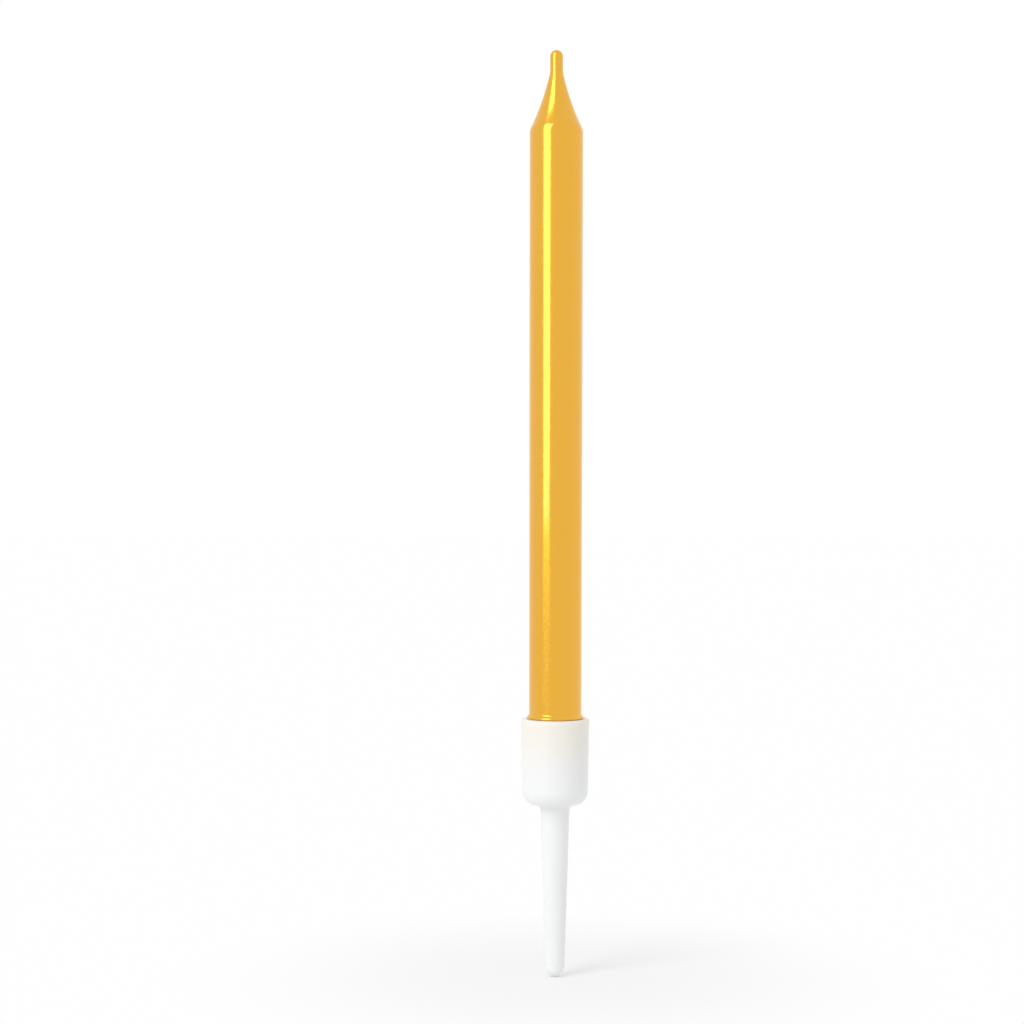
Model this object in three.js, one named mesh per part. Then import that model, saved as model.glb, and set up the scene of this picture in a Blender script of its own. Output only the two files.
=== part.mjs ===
// Birthday candle standing in its plastic cake holder, in millimetres, +Z up.
// The origin lies on the candle's axis in the plane of the cup's underside, which rests on the cake.
// Every piece is turned about that axis, and all have the same number of facets, so they nest.

import * as THREE from 'three';

// Facets round each piece
const SIDES = 40;

// Braided wick and the coats over it
const WICK_RADIUS = 0.5;
const NECK_WAX = 0.155; // wax over the wick's free end
const LACQUER_THICKNESS = 0.06;
const BOND_GAP = 0.01; // left between coats that stick to each other, so that they stay separate solids

// Candle body
const BODY_RADIUS_FOOT = 2.985; // outside the lacquer, at the cut foot
const BODY_RADIUS_SHOULDER = 3.06; // outside the lacquer, under the cone
const BODY_LENGTH = 66.95; // from the cup's rim to the shoulder
const CONE_HEIGHT = 6.6;
const CONE_STRAIGHTNESS = 0.64; // 1 is a straight cone, less is hollowed
const SHOULDER_BLEND = 0.32; // how far the rounding reaches along each side
const NECK_BLEND = 0.4;
const TIP_STEM = 1.82; // straight free end between cone and dome

// Bead at the candle's waist, which rests on the rim
const BEAD_WIDTH = 0.26;
const BEAD_EDGE = 0.15; // upright edge of the bead
const BEAD_FLARE = 0.39; // height over which it sweeps into the body

// Cup of the holder
const CUP_HEIGHT = 9.8; // underside to rim
const CUP_DEPTH = 8;
const CUP_CLEARANCE = 0.05; // radial, round the candle's foot
const CUP_WALL_RIM = 0.83;
const CUP_WALL_FOOT = 0.69;
const LIP_ROUNDING = 0.25;
const CUP_CORNER = 1.38; // rounding under the cup, sideways
const CUP_CORNER_RISE = 1.65; // and upwards
const BORE_CORNER = 0.2; // rounding inside the cup, at its floor
const SEAT_GAP = 0.02; // under the bead
const FLOOR_GAP = 0.3; // under the candle's foot

// Spike of the holder
const SPIKE_LENGTH = 19.56;
const SPIKE_ROOT_RADIUS = 1.635;
const SPIKE_TIP_RADIUS = 1.12;
const SPIKE_FILLET = 0.55; // hollow at the root, sideways
const SPIKE_FILLET_DROP = 0.75; // and downwards

// Steps along the curves of the outlines
const ARC_STEPS = 6;
const BLEND_STEPS = 4;
const CONE_STEPS = 8;
const BEAD_STEPS = 6;

// Sizes worked out from those above; heights on the candle count from its seat on the rim
const TIP_RADIUS = WICK_RADIUS + BOND_GAP + NECK_WAX + BOND_GAP + LACQUER_THICKNESS;
const FOOT_HEIGHT = FLOOR_GAP - CUP_DEPTH - SEAT_GAP;
const NECK_HEIGHT = BODY_LENGTH + CONE_HEIGHT;
const DOME_HEIGHT = NECK_HEIGHT + TIP_STEM;

function point(radius, height) {
  return new THREE.Vector2(radius, height);
}

// Points of an arc, in degrees: 0 points away from the axis and 90 points up. It may be taller than wide.
function arc(radius, height, size, from, to, tallness = size) {
  const points = [];
  for (let step = 0; step <= ARC_STEPS; step += 1) {
    const angle = THREE.MathUtils.degToRad(from + ((to - from) * step) / ARC_STEPS);
    points.push(point(radius + size * Math.cos(angle), height + tallness * Math.sin(angle)));
  }
  return points;
}

// Points of a soft rounding that leaves one side and joins the other, with the sharp corner between them.
function blend(start, corner, end) {
  return new THREE.QuadraticBezierCurve(start, corner, end).getPoints(BLEND_STEPS);
}

// Outer radius of the body, which widens a little from its foot to its shoulder.
function bodyRadius(height) {
  const share = (height - FOOT_HEIGHT) / (BODY_LENGTH - FOOT_HEIGHT);
  return THREE.MathUtils.lerp(BODY_RADIUS_FOOT, BODY_RADIUS_SHOULDER, share);
}

// A point on the hollowed cone, with share 0 at the neck and 1 at the shoulder.
function conePoint(share) {
  const width = CONE_STRAIGHTNESS * share + (1 - CONE_STRAIGHTNESS) * share * share;
  const radius = THREE.MathUtils.lerp(TIP_RADIUS, BODY_RADIUS_SHOULDER, width);
  return point(radius, NECK_HEIGHT - CONE_HEIGHT * share);
}

function beadPoints() {
  const points = [point(bodyRadius(0) + BEAD_WIDTH, 0)];
  for (let step = 0; step <= BEAD_STEPS; step += 1) {
    const share = step / BEAD_STEPS;
    const height = BEAD_EDGE + BEAD_FLARE * share;
    const width = (BEAD_WIDTH * (1 + Math.cos(Math.PI * share))) / 2;
    points.push(point(bodyRadius(height) + width, height));
  }
  return points;
}

function conePoints(from, to) {
  const points = [];
  for (let step = 1; step < CONE_STEPS; step += 1) {
    points.push(conePoint(THREE.MathUtils.lerp(from, to, step / CONE_STEPS)));
  }
  return points;
}

// Outside of the finished candle, from its cut foot up to the top of the dome.
function candleOutline() {
  const coneFrom = 1 - SHOULDER_BLEND / CONE_HEIGHT;
  const coneTo = NECK_BLEND / CONE_HEIGHT;
  const shoulder = point(BODY_RADIUS_SHOULDER, BODY_LENGTH);
  const belowShoulder = BODY_LENGTH - SHOULDER_BLEND;
  const neck = point(TIP_RADIUS, NECK_HEIGHT);
  return [
    point(BODY_RADIUS_FOOT, FOOT_HEIGHT),
    point(bodyRadius(0), 0),
    ...beadPoints(),
    ...blend(point(bodyRadius(belowShoulder), belowShoulder), shoulder, conePoint(coneFrom)),
    ...conePoints(coneFrom, coneTo),
    ...blend(conePoint(coneTo), neck, point(TIP_RADIUS, NECK_HEIGHT + NECK_BLEND)),
    ...arc(0, DOME_HEIGHT, TIP_RADIUS, 0, 90),
  ];
}

// The way out of the solid, square to the stretch from one point of an outline to the next.
function outward(from, to) {
  const along = to.clone().sub(from).normalize();
  return point(along.y, -along.x);
}

// The same outline moved into the solid, so that the coat over it has one thickness.
function inset(outline, distance) {
  const last = outline.length - 1;
  return outline.map((here, index) => {
    const below = index === 0 ? point(1, 0) : outward(outline[index - 1], here);
    const above = index === last ? point(0, 1) : outward(here, outline[index + 1]);
    const firstSide = index === last ? above : below;
    const secondSide = index === 0 ? below : above;
    const mitre = firstSide.clone().add(secondSide);
    return here.clone().addScaledVector(mitre, -distance / (1 + firstSide.dot(secondSide)));
  });
}

// Turns an outline that starts and ends on the axis, with the outside of the solid drawn upwards.
function turned(name, outline, finish) {
  const onAxis = outline.map((here) => point(Math.max(here.x, 0), here.y));
  onAxis[0].x = 0;
  onAxis[onAxis.length - 1].x = 0;
  const geometry = new THREE.LatheGeometry(onAxis, SIDES);
  geometry.rotateX(Math.PI / 2);
  const mesh = new THREE.Mesh(geometry, new THREE.MeshStandardMaterial(finish));
  mesh.name = name;
  return mesh;
}

// Braided cotton wick, from the cut foot to just under the dome.
function wick() {
  const outline = [
    point(0, FOOT_HEIGHT),
    point(WICK_RADIUS, FOOT_HEIGHT),
    ...arc(0, DOME_HEIGHT, WICK_RADIUS, 0, 90),
  ];
  return turned('wick', outline, { color: 0xe9e2cf, roughness: 0.95, metalness: 0 });
}

// Paraffin body with the wick's bore, cone, free end and bead.
function waxBody(outside) {
  const boreRadius = WICK_RADIUS + BOND_GAP;
  const outline = [
    ...arc(0, DOME_HEIGHT, boreRadius, 90, 0),
    point(boreRadius, FOOT_HEIGHT),
    ...inset(outside, LACQUER_THICKNESS + BOND_GAP),
  ];
  return turned('wax_body', outline, { color: 0xf1ead8, roughness: 0.55, metalness: 0 });
}

// Gold lacquer over the whole body and the free end, open at the cut foot.
function goldLacquer(outside) {
  const outline = [...inset(outside, LACQUER_THICKNESS).reverse(), ...outside];
  return turned('gold_lacquer', outline, { color: 0xe0a013, roughness: 0.22, metalness: 1 });
}

// One-piece moulded holder: spike, rounded underside, cup wall, rim, bore and floor.
function holder() {
  const rimRadius = bodyRadius(0) + CUP_CLEARANCE + CUP_WALL_RIM;
  const footRadius = BODY_RADIUS_FOOT + CUP_CLEARANCE + CUP_WALL_FOOT;
  const boreMouth = bodyRadius(0) + CUP_CLEARANCE;
  const boreFoot = BODY_RADIUS_FOOT + CUP_CLEARANCE;
  const floor = CUP_HEIGHT - CUP_DEPTH;
  const outline = [
    ...arc(0, SPIKE_TIP_RADIUS - SPIKE_LENGTH, SPIKE_TIP_RADIUS, -90, 0),
    ...arc(SPIKE_ROOT_RADIUS + SPIKE_FILLET, -SPIKE_FILLET_DROP, SPIKE_FILLET, 180, 90, SPIKE_FILLET_DROP),
    ...arc(footRadius - CUP_CORNER, CUP_CORNER_RISE, CUP_CORNER, -90, 0, CUP_CORNER_RISE),
    ...arc(rimRadius - LIP_ROUNDING, CUP_HEIGHT - LIP_ROUNDING, LIP_ROUNDING, 0, 90),
    point(boreMouth, CUP_HEIGHT),
    ...arc(boreFoot - BORE_CORNER, floor + BORE_CORNER, BORE_CORNER, 0, -90),
    point(0, floor),
  ];
  return turned('holder', outline, { color: 0xf2f1ec, roughness: 0.25, metalness: 0 });
}

const outside = candleOutline();
const candle = new THREE.Group();
candle.add(wick(), waxBody(outside), goldLacquer(outside));
candle.position.z = CUP_HEIGHT + SEAT_GAP;

const birthdayCandle = new THREE.Group();
birthdayCandle.add(holder(), candle);

export default birthdayCandle;
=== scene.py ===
"""A metallic gold birthday candle standing in its white plastic cake holder, in metres.

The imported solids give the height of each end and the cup's width. After the camera, the lights and the
floor come the holder and, from the inside out, the wick, the wax and the lacquer.
"""

import math

import bmesh
import bpy
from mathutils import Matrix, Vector


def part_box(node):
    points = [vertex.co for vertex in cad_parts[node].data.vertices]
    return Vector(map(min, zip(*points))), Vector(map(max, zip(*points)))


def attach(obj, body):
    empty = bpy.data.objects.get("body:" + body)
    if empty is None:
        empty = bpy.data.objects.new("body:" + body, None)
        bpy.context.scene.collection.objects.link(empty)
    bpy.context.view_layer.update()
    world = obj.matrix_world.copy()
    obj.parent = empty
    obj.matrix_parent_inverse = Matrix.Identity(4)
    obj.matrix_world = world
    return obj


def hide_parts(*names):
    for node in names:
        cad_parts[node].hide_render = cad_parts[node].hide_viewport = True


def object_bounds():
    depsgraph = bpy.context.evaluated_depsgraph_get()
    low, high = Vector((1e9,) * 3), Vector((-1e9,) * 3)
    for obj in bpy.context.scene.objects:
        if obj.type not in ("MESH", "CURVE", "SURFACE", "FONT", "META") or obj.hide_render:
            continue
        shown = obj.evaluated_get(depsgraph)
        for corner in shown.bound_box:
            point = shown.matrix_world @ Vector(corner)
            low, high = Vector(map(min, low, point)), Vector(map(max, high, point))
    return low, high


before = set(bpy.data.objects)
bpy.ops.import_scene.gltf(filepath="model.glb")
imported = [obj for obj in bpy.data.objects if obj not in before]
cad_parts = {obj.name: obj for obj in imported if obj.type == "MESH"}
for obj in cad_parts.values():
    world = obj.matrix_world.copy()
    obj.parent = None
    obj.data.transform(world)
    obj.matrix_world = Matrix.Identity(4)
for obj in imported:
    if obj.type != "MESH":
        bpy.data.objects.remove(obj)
cad_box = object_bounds()
MM = 0.001


# Camera. It looks level and straight on from about a quarter of a metre, a little below the middle of
# the candle, and stands left of it, so the candle is right of the picture's centre. It rolls a hair to
# the left, because the candle leans a tenth of a degree to the right in the picture.
CAMERA_DISTANCE = 244.9 * MM
CAMERA_LEFT = 4.97 * MM
CAMERA_HEIGHT = 33.3 * MM
CAMERA_ROLL = 0.12
camera_data = bpy.data.cameras.new("camera")
camera_data.sensor_width = 36
camera_data.lens = 75.6
camera_data.clip_start = 0.01
camera_data.clip_end = 20
camera = bpy.data.objects.new("camera", camera_data)
bpy.context.scene.collection.objects.link(camera)
camera.location = (-CAMERA_LEFT, -CAMERA_DISTANCE, CAMERA_HEIGHT)
camera.rotation_euler = (math.radians(90), math.radians(-CAMERA_ROLL), 0)
bpy.context.scene.camera = camera
bpy.context.scene.view_settings.view_transform = "Standard"


# Studio. A plain white room: the camera, what is glossy and what is clear all see the same white, and
# matte surfaces get an even fill light.
class Wire:
    """A socket of a shader, with operators that add Math nodes for numbers."""

    def __init__(self, shader, socket):
        self.shader = shader
        self.socket = socket

    def math(self, operation, *values):
        inputs = dict(enumerate((self, *values)))
        return self.shader.wire("ShaderNodeMath", {"operation": operation}, inputs)

    def __add__(self, other):
        return self.math("ADD", other)

    def __radd__(self, other):
        return self.math("ADD", other)

    def __sub__(self, other):
        return self.math("SUBTRACT", other)

    def __rsub__(self, other):
        return (self * -1.0) + other

    def __mul__(self, other):
        return self.math("MULTIPLY", other)

    def __rmul__(self, other):
        return self.math("MULTIPLY", other)

    def __truediv__(self, other):
        return self.math("DIVIDE", other)

    def step(self, low, high):
        """0 below low, 1 above high and smooth between them."""
        inputs = {"Value": self, "From Min": low, "From Max": high}
        return self.shader.wire("ShaderNodeMapRange", {"interpolation_type": "SMOOTHSTEP"}, inputs)


class Shader:
    """The nodes of one material, or of the world."""

    def __init__(self, owner):
        owner.use_nodes = True
        self.tree = owner.node_tree
        self.tree.nodes.clear()

    def node(self, kind, settings=None, inputs=None):
        """Adds a node. Its settings are made first, then its sockets get their values or links."""
        node = self.tree.nodes.new(kind)
        for name, value in (settings or {}).items():
            setattr(node, name, value)
        for name, value in (inputs or {}).items():
            if isinstance(value, Wire):
                self.tree.links.new(value.socket, node.inputs[name])
            else:
                node.inputs[name].default_value = value
        return node

    def wire(self, kind, settings=None, inputs=None, output=0):
        return Wire(self, self.node(kind, settings, inputs).outputs[output])

    def mix(self, share, first, second):
        """The colour that goes from the first to the second as share goes from 0 to 1."""
        colours = {"Factor": share, 6: first, 7: second}
        return self.wire("ShaderNodeMix", {"data_type": "RGBA"}, colours, output=2)

    def vector(self, operation, *values):
        return self.wire("ShaderNodeVectorMath", {"operation": operation}, dict(enumerate(values)))

    def parts(self, vector):
        """The x, y and z of a vector."""
        split = self.node("ShaderNodeSeparateXYZ", {}, {"Vector": vector})
        return [Wire(self, socket) for socket in split.outputs]

    def place(self):
        """The point on the object, in metres."""
        return self.wire("ShaderNodeTexCoord", output="Object")


FILL_LIGHT = 0.765

world = bpy.data.worlds.new("studio")
bpy.context.scene.world = world
world.cycles.sampling_method = "NONE"
sky = Shader(world)
ray = sky.node("ShaderNodeLightPath")
seen = Wire(sky, ray.outputs["Is Camera Ray"])
glossy = Wire(sky, ray.outputs["Is Glossy Ray"])
through = Wire(sky, ray.outputs["Is Transmission Ray"])
white = (seen + glossy + through).math("MINIMUM", 1.0)
strength = white + (1.0 - white) * FILL_LIGHT
room = sky.wire("ShaderNodeBackground", {}, {"Color": (1, 1, 1, 1), "Strength": strength})
sky.node("ShaderNodeOutputWorld", {}, {"Surface": room})


# Soft box. A plain white panel high on the left, which gives the gloss its highlight.
SOFT_BOX_AZIMUTH = math.radians(-42)
SOFT_BOX_ELEVATION = math.radians(27)
SOFT_BOX_DISTANCE = 2
SOFT_BOX_WIDTH = 1.1
SOFT_BOX_HEIGHT = 2
SOFT_BOX_BRIGHTNESS = 2


def towards(turn, rise):
    """The way to an azimuth and elevation."""
    return Vector((math.sin(turn) * math.cos(rise), -math.cos(turn) * math.cos(rise), math.sin(rise)))


def hang(name, turn, rise, distance, size, size_y):
    """An area lamp that looks at the origin from an azimuth, elevation and distance."""
    lamp_data = bpy.data.lights.new(name, "AREA")
    lamp_data.shape = "RECTANGLE"
    lamp_data.size = size
    lamp_data.size_y = size_y
    lamp = bpy.data.objects.new(name, lamp_data)
    bpy.context.scene.collection.objects.link(lamp)
    lamp.location = towards(turn, rise) * distance
    lamp.rotation_euler = towards(turn, rise).to_track_quat("Z", "Y").to_euler()
    lamp.visible_camera = False
    return lamp


soft_box = hang(
    "soft_box", SOFT_BOX_AZIMUTH, SOFT_BOX_ELEVATION, SOFT_BOX_DISTANCE, SOFT_BOX_WIDTH, SOFT_BOX_HEIGHT
)
soft_box.data.energy = SOFT_BOX_BRIGHTNESS * math.pi * SOFT_BOX_WIDTH * SOFT_BOX_HEIGHT
soft_box.visible_diffuse = False
soft_box.visible_transmission = False


# Key light. A smaller soft lamp from the same side shades what is matte and throws the shadow.
KEY_AZIMUTH = math.radians(-44)
KEY_ELEVATION = math.radians(38)
KEY_DISTANCE = 0.8
KEY_WIDTH = 0.36
KEY_HEIGHT = 0.5
KEY_POWER = 2.1
key = hang("key_light", KEY_AZIMUTH, KEY_ELEVATION, KEY_DISTANCE, KEY_WIDTH, KEY_HEIGHT)
key.data.energy = KEY_POWER
key.visible_glossy = False


# Floor. A white sheet on which the spike's round tip stands. Near the candle it is partly matte, so it
# takes the real shadow, and its glow fades there, which paints a soft darker pool of shade round the tip.
# Further off it glows evenly, so that it runs into the white behind it with no edge. From below it is
# clear, so that the underside can be seen.
floor_height = cad_box[0].z
FLOOR_SIZE = 10
FLOOR_GLOW = 0.995
# The glow share next to the candle, lower than far off, which paints the darker pool of shade there.
NEAR_GLOW = 0.33
GLOW_GROWS_FROM = 2 * MM
GLOW_FULL_AT = 45 * MM
bpy.ops.object.select_all(action="DESELECT")
bpy.ops.mesh.primitive_plane_add(size=FLOOR_SIZE, location=(0, 0, floor_height))
floor = bpy.context.object
floor.name = "floor"
floor.visible_glossy = False
floor.visible_shadow = False
paper = bpy.data.materials.new("white_floor")
sheet = Shader(paper)
east, north, _ = sheet.parts(sheet.place())
spread = (east * east + north * north).math("SQRT")
looked_at = sheet.wire("ShaderNodeLightPath", output="Is Camera Ray")
further = spread.step(GLOW_GROWS_FROM, GLOW_FULL_AT)
glow_share = looked_at * (NEAR_GLOW + (1 - NEAR_GLOW) * further)
matte = sheet.wire("ShaderNodeBsdfDiffuse", {}, {"Color": (0.93, 0.93, 0.93, 1)})
glow = sheet.wire("ShaderNodeEmission", {}, {"Color": (1, 1, 1, 1), "Strength": FLOOR_GLOW})
surface = sheet.wire("ShaderNodeMixShader", {}, {0: glow_share, 1: matte, 2: glow})
from_below = sheet.wire("ShaderNodeNewGeometry", output="Backfacing")
clear = sheet.wire("ShaderNodeBsdfTransparent")
surface = sheet.wire("ShaderNodeMixShader", {}, {0: from_below, 1: surface, 2: clear})
sheet.node("ShaderNodeOutputMaterial", {}, {"Surface": surface})
floor.data.materials.append(paper)


# Holder. One shot of milky white plastic: a cup for the candle's foot, rounded underneath, and a
# tapered spike with a round tip. The mould leaves it glossy, a little waxy, and slightly translucent.
ROUND_SIDES = 128
rim_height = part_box("holder")[1].z
rim_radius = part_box("holder")[1].x
spike_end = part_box("holder")[0].z
CUP_FOOT_RADIUS = 3.725 * MM
CUP_DEPTH = 8 * MM
CUP_WALL = 0.83 * MM
BORE_FOOT_RADIUS = 3.035 * MM
SPIKE_ROOT_RADIUS = 1.657 * MM
SPIKE_TIP_RADIUS = 1.087 * MM
LIP_ROUNDING = 0.25 * MM
MOUTH_ROUNDING = 0.08 * MM
CUP_CORNER = 1.38 * MM
CUP_CORNER_RISE = 1.65 * MM
BORE_CORNER = 0.2 * MM
SPIKE_FILLET = 0.55 * MM
SPIKE_FILLET_DROP = 0.75 * MM
SMOOTH_BELOW = math.radians(35)
LEVEL_TOLERANCE = 0.002 * MM
RADIUS_TOLERANCE = 0.01 * MM
WELD_DISTANCE = 0.0005 * MM

# A ring of edges this far past a rounding holds its shading.
SUPPORT = 0.1 * MM

# A dome is rounded to just short of its axis.
DOME_SHARE = 0.985


def add_tube(name, radius, low, high, ends):
    """A round primitive about the axis, open for editing with nothing selected."""
    bpy.ops.object.select_all(action="DESELECT")
    bpy.ops.mesh.primitive_cylinder_add(
        vertices=ROUND_SIDES, radius=radius, depth=high - low, end_fill_type=ends,
        location=(0, 0, (low + high) / 2),
    )
    tube = bpy.context.object
    tube.name = name
    bpy.ops.object.transform_apply(location=True, rotation=True, scale=True)
    bpy.ops.object.mode_set(mode="EDIT")
    bpy.ops.mesh.select_all(action="DESELECT")
    return tube


def pick_cap(height, upwards):
    """Selects the flat face at a height that looks up, or down."""
    bpy.ops.mesh.select_all(action="DESELECT")
    bpy.ops.mesh.select_mode(type="FACE")
    mesh = bmesh.from_edit_mesh(bpy.context.object.data)
    for face in mesh.faces:
        level = abs(face.calc_center_median().z - height) < LEVEL_TOLERANCE
        face.select = level and (face.normal.z > 0.9 if upwards else face.normal.z < -0.9)
    mesh.select_flush_mode()
    bmesh.update_edit_mesh(bpy.context.object.data)


def pick_ring(height, radius):
    """Selects the ring of edges at a height and radius."""
    bpy.ops.mesh.select_all(action="DESELECT")
    bpy.ops.mesh.select_mode(type="EDGE")
    mesh = bmesh.from_edit_mesh(bpy.context.object.data)
    for edge in mesh.edges:
        ends = [vertex.co for vertex in edge.verts]
        level = all(abs(end.z - height) < LEVEL_TOLERANCE for end in ends)
        edge.select = level and all(abs(end.xy.length - radius) < RADIUS_TOLERANCE for end in ends)
    mesh.select_flush_mode()
    bmesh.update_edit_mesh(bpy.context.object.data)


def widen(share):
    """Scales what is selected about the axis."""
    bpy.ops.transform.resize(value=(share, share, 1), center_override=(0, 0, 0))


def lengthen(share):
    """Scales what is selected along the axis, away from the cup's underside."""
    bpy.ops.transform.resize(value=(1, 1, share), center_override=(0, 0, 0))


def pull_cap(rise, share):
    """Pulls the selected face along the axis and scales it."""
    bpy.ops.mesh.extrude_region_move(TRANSFORM_OT_translate={"value": (0, 0, rise)})
    widen(share)


def round_ring(height, radius, size, segments):
    """Rounds off a ring of edges."""
    pick_ring(height, radius)
    bpy.ops.mesh.bevel(offset=size, segments=segments, affect="EDGES", clamp_overlap=False)


def hold_shade(*heights):
    """Cuts a ring at each height, to keep the shading of a rounding off the straight wall beside it."""
    for height in heights:
        bpy.ops.mesh.select_all(action="SELECT")
        bpy.ops.mesh.bisect(plane_co=(0, 0, height), plane_no=(0, 0, 1))


def leave_edit():
    """Leaves edit mode with clean faces that point outwards."""
    bpy.ops.mesh.select_all(action="SELECT")
    bpy.ops.mesh.remove_doubles(threshold=WELD_DISTANCE)
    bpy.ops.mesh.normals_make_consistent(inside=False)
    bpy.ops.object.mode_set(mode="OBJECT")


def dress(piece, material, body, node):
    """Shades a piece smoothly, gives it its material, ties it to its body and hides the imported part of
    its node.
    """
    bpy.ops.object.shade_smooth_by_angle(angle=SMOOTH_BELOW)
    piece.data.materials.clear()
    piece.data.materials.append(material)
    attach(piece, body)
    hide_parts(node)


holder = add_tube("holder_moulding", CUP_FOOT_RADIUS, 0, rim_height, "NGON")
pick_cap(rim_height, upwards=True)
widen(rim_radius / CUP_FOOT_RADIUS)
bpy.ops.mesh.inset(thickness=CUP_WALL)
mouth_radius = rim_radius - CUP_WALL / math.cos(math.pi / ROUND_SIDES)
pull_cap(-CUP_DEPTH, BORE_FOOT_RADIUS / mouth_radius)
pick_cap(0, upwards=False)
bpy.ops.mesh.inset(thickness=(CUP_FOOT_RADIUS - SPIKE_ROOT_RADIUS) * math.cos(math.pi / ROUND_SIDES))
pull_cap(spike_end, SPIKE_TIP_RADIUS / SPIKE_ROOT_RADIUS)
round_ring(rim_height, rim_radius, LIP_ROUNDING, 6)
round_ring(rim_height, mouth_radius, MOUTH_ROUNDING, 4)
round_ring(rim_height - CUP_DEPTH, BORE_FOOT_RADIUS, BORE_CORNER, 4)
round_ring(0, CUP_FOOT_RADIUS, CUP_CORNER, 12)
lengthen(CUP_CORNER_RISE / CUP_CORNER)
round_ring(0, SPIKE_ROOT_RADIUS, SPIKE_FILLET, 8)
lengthen(SPIKE_FILLET_DROP / SPIKE_FILLET)
round_ring(spike_end, SPIKE_TIP_RADIUS, SPIKE_TIP_RADIUS * DOME_SHARE, 14)
hold_shade(rim_height - LIP_ROUNDING - SUPPORT, CUP_CORNER_RISE + SUPPORT)
hold_shade(-SPIKE_FILLET_DROP - SUPPORT, spike_end + SPIKE_TIP_RADIUS + SUPPORT)
leave_edit()

plastic = bpy.data.materials.new("milky_plastic")
moulding = Shader(plastic)
spot = moulding.place()
_, _, height = moulding.parts(spot)
cloud = moulding.wire("ShaderNodeTexNoise", {}, {"Vector": spot, "Scale": 420, "Detail": 3.0})
grain = moulding.wire("ShaderNodeTexNoise", {}, {"Vector": spot, "Scale": 5000, "Detail": 2.0})
# Painted light: towards the rim the milk turns warm cream, a painted glow of the gold foot's light
# shining through the wall.
painted_gold_light_share = height.step(2.4 * MM, 9 * MM)
cool = moulding.mix(cloud, (0.875, 0.885, 0.89, 1), (0.895, 0.9, 0.905, 1))
painted_gold_lit_milk = moulding.mix(cloud, (0.885, 0.85, 0.77, 1), (0.9, 0.87, 0.8, 1))
milk = moulding.mix(painted_gold_light_share, cool, painted_gold_lit_milk)
bump = moulding.wire("ShaderNodeBump", {}, {"Strength": 1.0, "Distance": 0.002 * MM, "Height": grain})
skin = moulding.wire("ShaderNodeBsdfPrincipled", {}, {
    "Base Color": milk,
    "Roughness": 0.24 + 0.1 * grain,
    "Normal": bump,
    "IOR": 1.5,
    "Subsurface Weight": 0.15,
    "Subsurface Radius": (1.0, 0.95, 0.85),
    "Subsurface Scale": 0.6 * MM,
})
moulding.node("ShaderNodeOutputMaterial", {}, {"Surface": skin})
dress(holder, plastic, "holder", "holder")


# Wick. Three cotton yarns braided flat, from the cut foot to just under the lacquered tip. It shows
# only at the candle's cut foot, once the candle is out of its cup.
foot_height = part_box("wax_body")[0].z
top_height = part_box("gold_lacquer")[1].z
YARNS = 3
YARN_RADIUS = 0.2 * MM
BRAID_WIDTH = 0.27 * MM
BRAID_DEPTH = 0.13 * MM
BRAID_PITCH = 2.5 * MM
WICK_END_DEPTH = 0.8 * MM
POINTS_PER_PITCH = 12

wick_length = top_height - WICK_END_DEPTH - foot_height
yarn_points = round(wick_length / BRAID_PITCH * POINTS_PER_PITCH)
yarns = []
for strand in range(YARNS):
    line = bpy.data.curves.new("yarn", "CURVE")
    line.dimensions = "3D"
    line.bevel_depth = YARN_RADIUS
    line.bevel_resolution = 3
    line.use_fill_caps = True
    path = line.splines.new("POLY")
    path.points.add(yarn_points)
    for index in range(yarn_points + 1):
        height = foot_height + wick_length * index / yarn_points
        braided_height = max(height, foot_height + wick_length / yarn_points)
        turn = math.tau * (braided_height / BRAID_PITCH + strand / YARNS)
        side = BRAID_WIDTH * math.sin(turn)
        front = BRAID_DEPTH * math.sin(2 * turn)
        path.points[index].co = (side, front, height, 1)
    yarn = bpy.data.objects.new("yarn", line)
    bpy.context.scene.collection.objects.link(yarn)
    yarns.append(yarn)
bpy.ops.object.select_all(action="DESELECT")
for yarn in yarns:
    yarn.select_set(True)
wick = yarns[0]
bpy.context.view_layer.objects.active = wick
bpy.ops.object.convert(target="MESH")
bpy.ops.object.join()
wick.name = "braided_wick"
bpy.ops.object.mode_set(mode="EDIT")
leave_edit()

cotton = bpy.data.materials.new("waxed_cotton")
fibre = Shader(cotton)
spot = fibre.place()
stretched = fibre.vector("MULTIPLY", spot, (1, 1, 0.18))
hairs = fibre.wire("ShaderNodeTexNoise", {}, {"Vector": stretched, "Scale": 30000, "Detail": 2.0})
bump = fibre.wire("ShaderNodeBump", {}, {"Strength": 0.6, "Distance": 0.03 * MM, "Height": hairs})
yarn_colour = fibre.mix(hairs, (0.6, 0.55, 0.43, 1), (0.9, 0.87, 0.77, 1))
thread = fibre.wire("ShaderNodeBsdfPrincipled", {}, {
    "Base Color": yarn_colour,
    "Roughness": 0.85 - 0.2 * hairs,
    "Normal": bump,
})
fibre.node("ShaderNodeOutputMaterial", {}, {"Surface": thread})
dress(wick, cotton, "candle", "wick")


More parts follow.
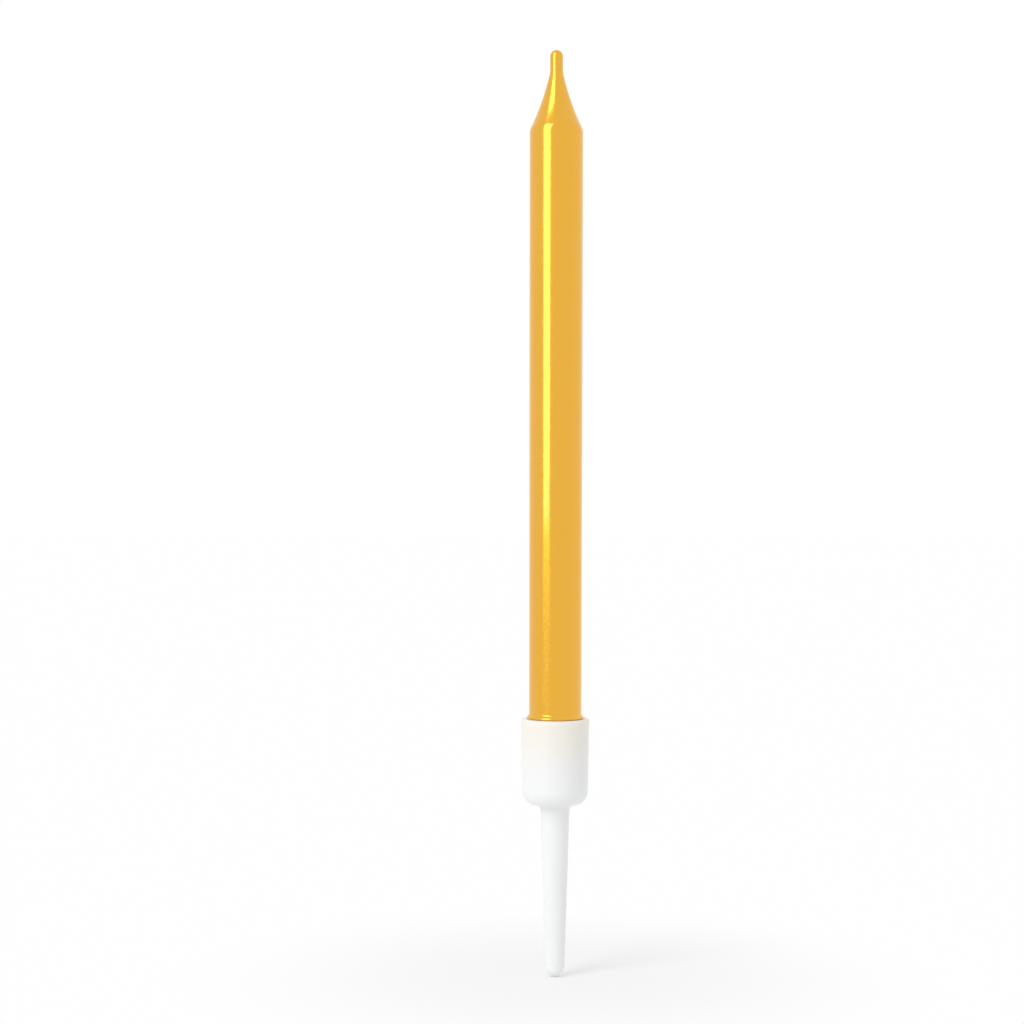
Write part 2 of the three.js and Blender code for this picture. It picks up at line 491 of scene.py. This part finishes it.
# Wax body. Paraffin cast round the wick: the foot in the cup, the bead on the rim, the long body, the
# hollowed cone and the wax over the wick's free end. The foot is cut square and shows wax and wick.
# The outer form is drawn ring by ring and becomes the lacquer; the wax is its copy, thinner by the film.
seat_height = rim_height + 0.02 * MM
BODY_FOOT_RADIUS = 2.985 * MM
BODY_TOP_RADIUS = 3.06 * MM
BODY_LENGTH = 66.95 * MM
BEAD_WIDTH = 0.26 * MM
BEAD_EDGE = 0.15 * MM
BEAD_FLARE = 0.39 * MM
BEAD_ROUNDING = 0.07 * MM
BEAD_STEPS = 8
BODY_STEPS = 22
CONE_HEIGHT = 6.6 * MM
CONE_STRAIGHTNESS = 0.64
CONE_STEPS = 14
TIP_RADIUS = 0.735 * MM
SHOULDER_BLEND = 0.32 * MM
NECK_BLEND = 0.4 * MM
LACQUER_THICKNESS = 0.06 * MM
BOND_GAP = 0.01 * MM
BORE_RADIUS = 0.51 * MM
BORE_END_DEPTH = 0.6 * MM
shoulder_height = seat_height + BODY_LENGTH
neck_height = shoulder_height + CONE_HEIGHT


def body_radius(height):
    """The finished body widens a little from its foot to its shoulder."""
    share = (height - foot_height) / (shoulder_height - foot_height)
    return BODY_FOOT_RADIUS + (BODY_TOP_RADIUS - BODY_FOOT_RADIUS) * share


form = add_tube("lacquer_coat", BODY_FOOT_RADIUS, foot_height, seat_height, "NOTHING")
bead_radius = body_radius(seat_height) + BEAD_WIDTH
rings = [(seat_height, body_radius(seat_height)), (seat_height, bead_radius)]
for step in range(BEAD_STEPS + 1):
    share = step / BEAD_STEPS
    height = seat_height + BEAD_EDGE + BEAD_FLARE * share
    rings.append((height, body_radius(height) + BEAD_WIDTH * (1 + math.cos(math.pi * share)) / 2))
body_from = rings[-1][0] + SUPPORT
body_to = shoulder_height - SHOULDER_BLEND - SUPPORT
for step in range(BODY_STEPS + 1):
    height = body_from + (body_to - body_from) * step / BODY_STEPS
    rings.append((height, body_radius(height)))
rings.append((shoulder_height, BODY_TOP_RADIUS))
for step in range(1, CONE_STEPS + 1):
    share = 1 - step / CONE_STEPS
    width = CONE_STRAIGHTNESS * share + (1 - CONE_STRAIGHTNESS) * share * share
    rings.append((neck_height - CONE_HEIGHT * share, TIP_RADIUS + (BODY_TOP_RADIUS - TIP_RADIUS) * width))
for height in (neck_height + NECK_BLEND + SUPPORT, top_height - TIP_RADIUS - SUPPORT, top_height):
    rings.append((height, TIP_RADIUS))
pick_ring(seat_height, BODY_FOOT_RADIUS)
widen(rings[0][1] / BODY_FOOT_RADIUS)
for (from_height, from_radius), (to_height, to_radius) in zip(rings, rings[1:]):
    rise = {"value": (0, 0, to_height - from_height)}
    bpy.ops.mesh.extrude_edges_move(TRANSFORM_OT_translate=rise)
    widen(to_radius / from_radius)
bpy.ops.mesh.edge_face_add()
round_ring(seat_height, bead_radius, BEAD_ROUNDING, 4)
round_ring(shoulder_height, BODY_TOP_RADIUS, SHOULDER_BLEND, 6)
round_ring(neck_height, TIP_RADIUS, NECK_BLEND, 6)
round_ring(top_height, TIP_RADIUS, TIP_RADIUS * DOME_SHARE, 12)
leave_edit()

bpy.ops.object.duplicate(linked=False)
wax = bpy.context.object
wax.name = "wax_candle"
bpy.ops.object.mode_set(mode="EDIT")
bpy.ops.mesh.select_all(action="SELECT")
bpy.ops.transform.shrink_fatten(value=-(LACQUER_THICKNESS + BOND_GAP), use_even_offset=True)
wax_foot_radius = BODY_FOOT_RADIUS - LACQUER_THICKNESS - BOND_GAP
pick_ring(foot_height, wax_foot_radius)
bpy.ops.mesh.edge_face_add()
bpy.ops.mesh.inset(thickness=wax_foot_radius - BORE_RADIUS)
bore_rise = {"value": (0, 0, top_height - BORE_END_DEPTH - foot_height)}
bpy.ops.mesh.extrude_region_move(TRANSFORM_OT_translate=bore_rise)
leave_edit()

paraffin = bpy.data.materials.new("paraffin")
tallow = Shader(paraffin)
spot = tallow.place()
cloud = tallow.wire("ShaderNodeTexNoise", {}, {"Vector": spot, "Scale": 900, "Detail": 3.0})
bump = tallow.wire("ShaderNodeBump", {}, {"Strength": 0.5, "Distance": 0.05 * MM, "Height": cloud})
wax_colour = tallow.mix(cloud, (0.84, 0.79, 0.66, 1), (0.92, 0.89, 0.81, 1))
wax_skin = tallow.wire("ShaderNodeBsdfPrincipled", {}, {
    "Base Color": wax_colour,
    "Roughness": 0.4 + 0.25 * cloud,
    "Normal": bump,
    "Subsurface Weight": 0.5,
    "Subsurface Radius": (1.0, 0.85, 0.6),
    "Subsurface Scale": 0.8 * MM,
})
tallow.node("ShaderNodeOutputMaterial", {}, {"Surface": wax_skin})
dress(wax, paraffin, "candle", "wax_body")


# Lacquer. A thin gold film over the whole wax body and the free end of the wick, open at the cut foot.
# Fine metal flakes lie in a clear binder, so it mirrors the studio softly, with a fine grain. Each
# flake tilts a little at random, and some are coarser than the rest and scatter more.
FLAKE_SCALE = 8300
FLAKE_TILT = 0.018
COARSE_FROM = 0.7
bpy.ops.object.select_all(action="DESELECT")
form.select_set(True)
bpy.context.view_layer.objects.active = form
film = form.modifiers.new("film", "SOLIDIFY")
film.thickness = LACQUER_THICKNESS
film.offset = -1
film.use_even_offset = True
bpy.ops.object.modifier_apply(modifier=film.name)

gold_paint = bpy.data.materials.new("gold_lacquer")
gilt = Shader(gold_paint)
spot = gilt.place()
flake = gilt.wire("ShaderNodeTexVoronoi", {}, {"Vector": spot, "Scale": FLAKE_SCALE}, output="Color")
tilt = gilt.vector("SUBTRACT", flake, (0.5, 0.5, 0.5))
tilt = gilt.vector("MULTIPLY", tilt, (FLAKE_TILT, FLAKE_TILT, FLAKE_TILT))
coarse, _, _ = gilt.parts(flake)
coarse = coarse.step(COARSE_FROM, 1.0)
straight = gilt.wire("ShaderNodeNewGeometry", output="Normal")
tilted = gilt.vector("NORMALIZE", gilt.vector("ADD", straight, tilt))
peel = gilt.wire("ShaderNodeTexNoise", {}, {"Vector": spot, "Scale": 4200, "Detail": 2.0})
bump = gilt.wire("ShaderNodeBump", {}, {
    "Strength": 1.0, "Distance": 0.005 * MM, "Height": peel, "Normal": tilted,
})
gilding = gilt.wire("ShaderNodeBsdfPrincipled", {}, {
    "Base Color": gilt.mix(peel, (0.79, 0.395, 0.002, 1), (0.82, 0.415, 0.003, 1)),
    "Metallic": 1.0,
    "Roughness": 0.115 + 0.04 * peel + 0.12 * coarse,
    "Normal": bump,
    "Specular Tint": (1.0, 0.75, 0.3, 1),
    "Coat Weight": 1.0,
    "Coat Roughness": 0.06,
    "Coat IOR": 1.6,
})
gilt.node("ShaderNodeOutputMaterial", {}, {"Surface": gilding})
dress(form, gold_paint, "candle", "gold_lacquer")
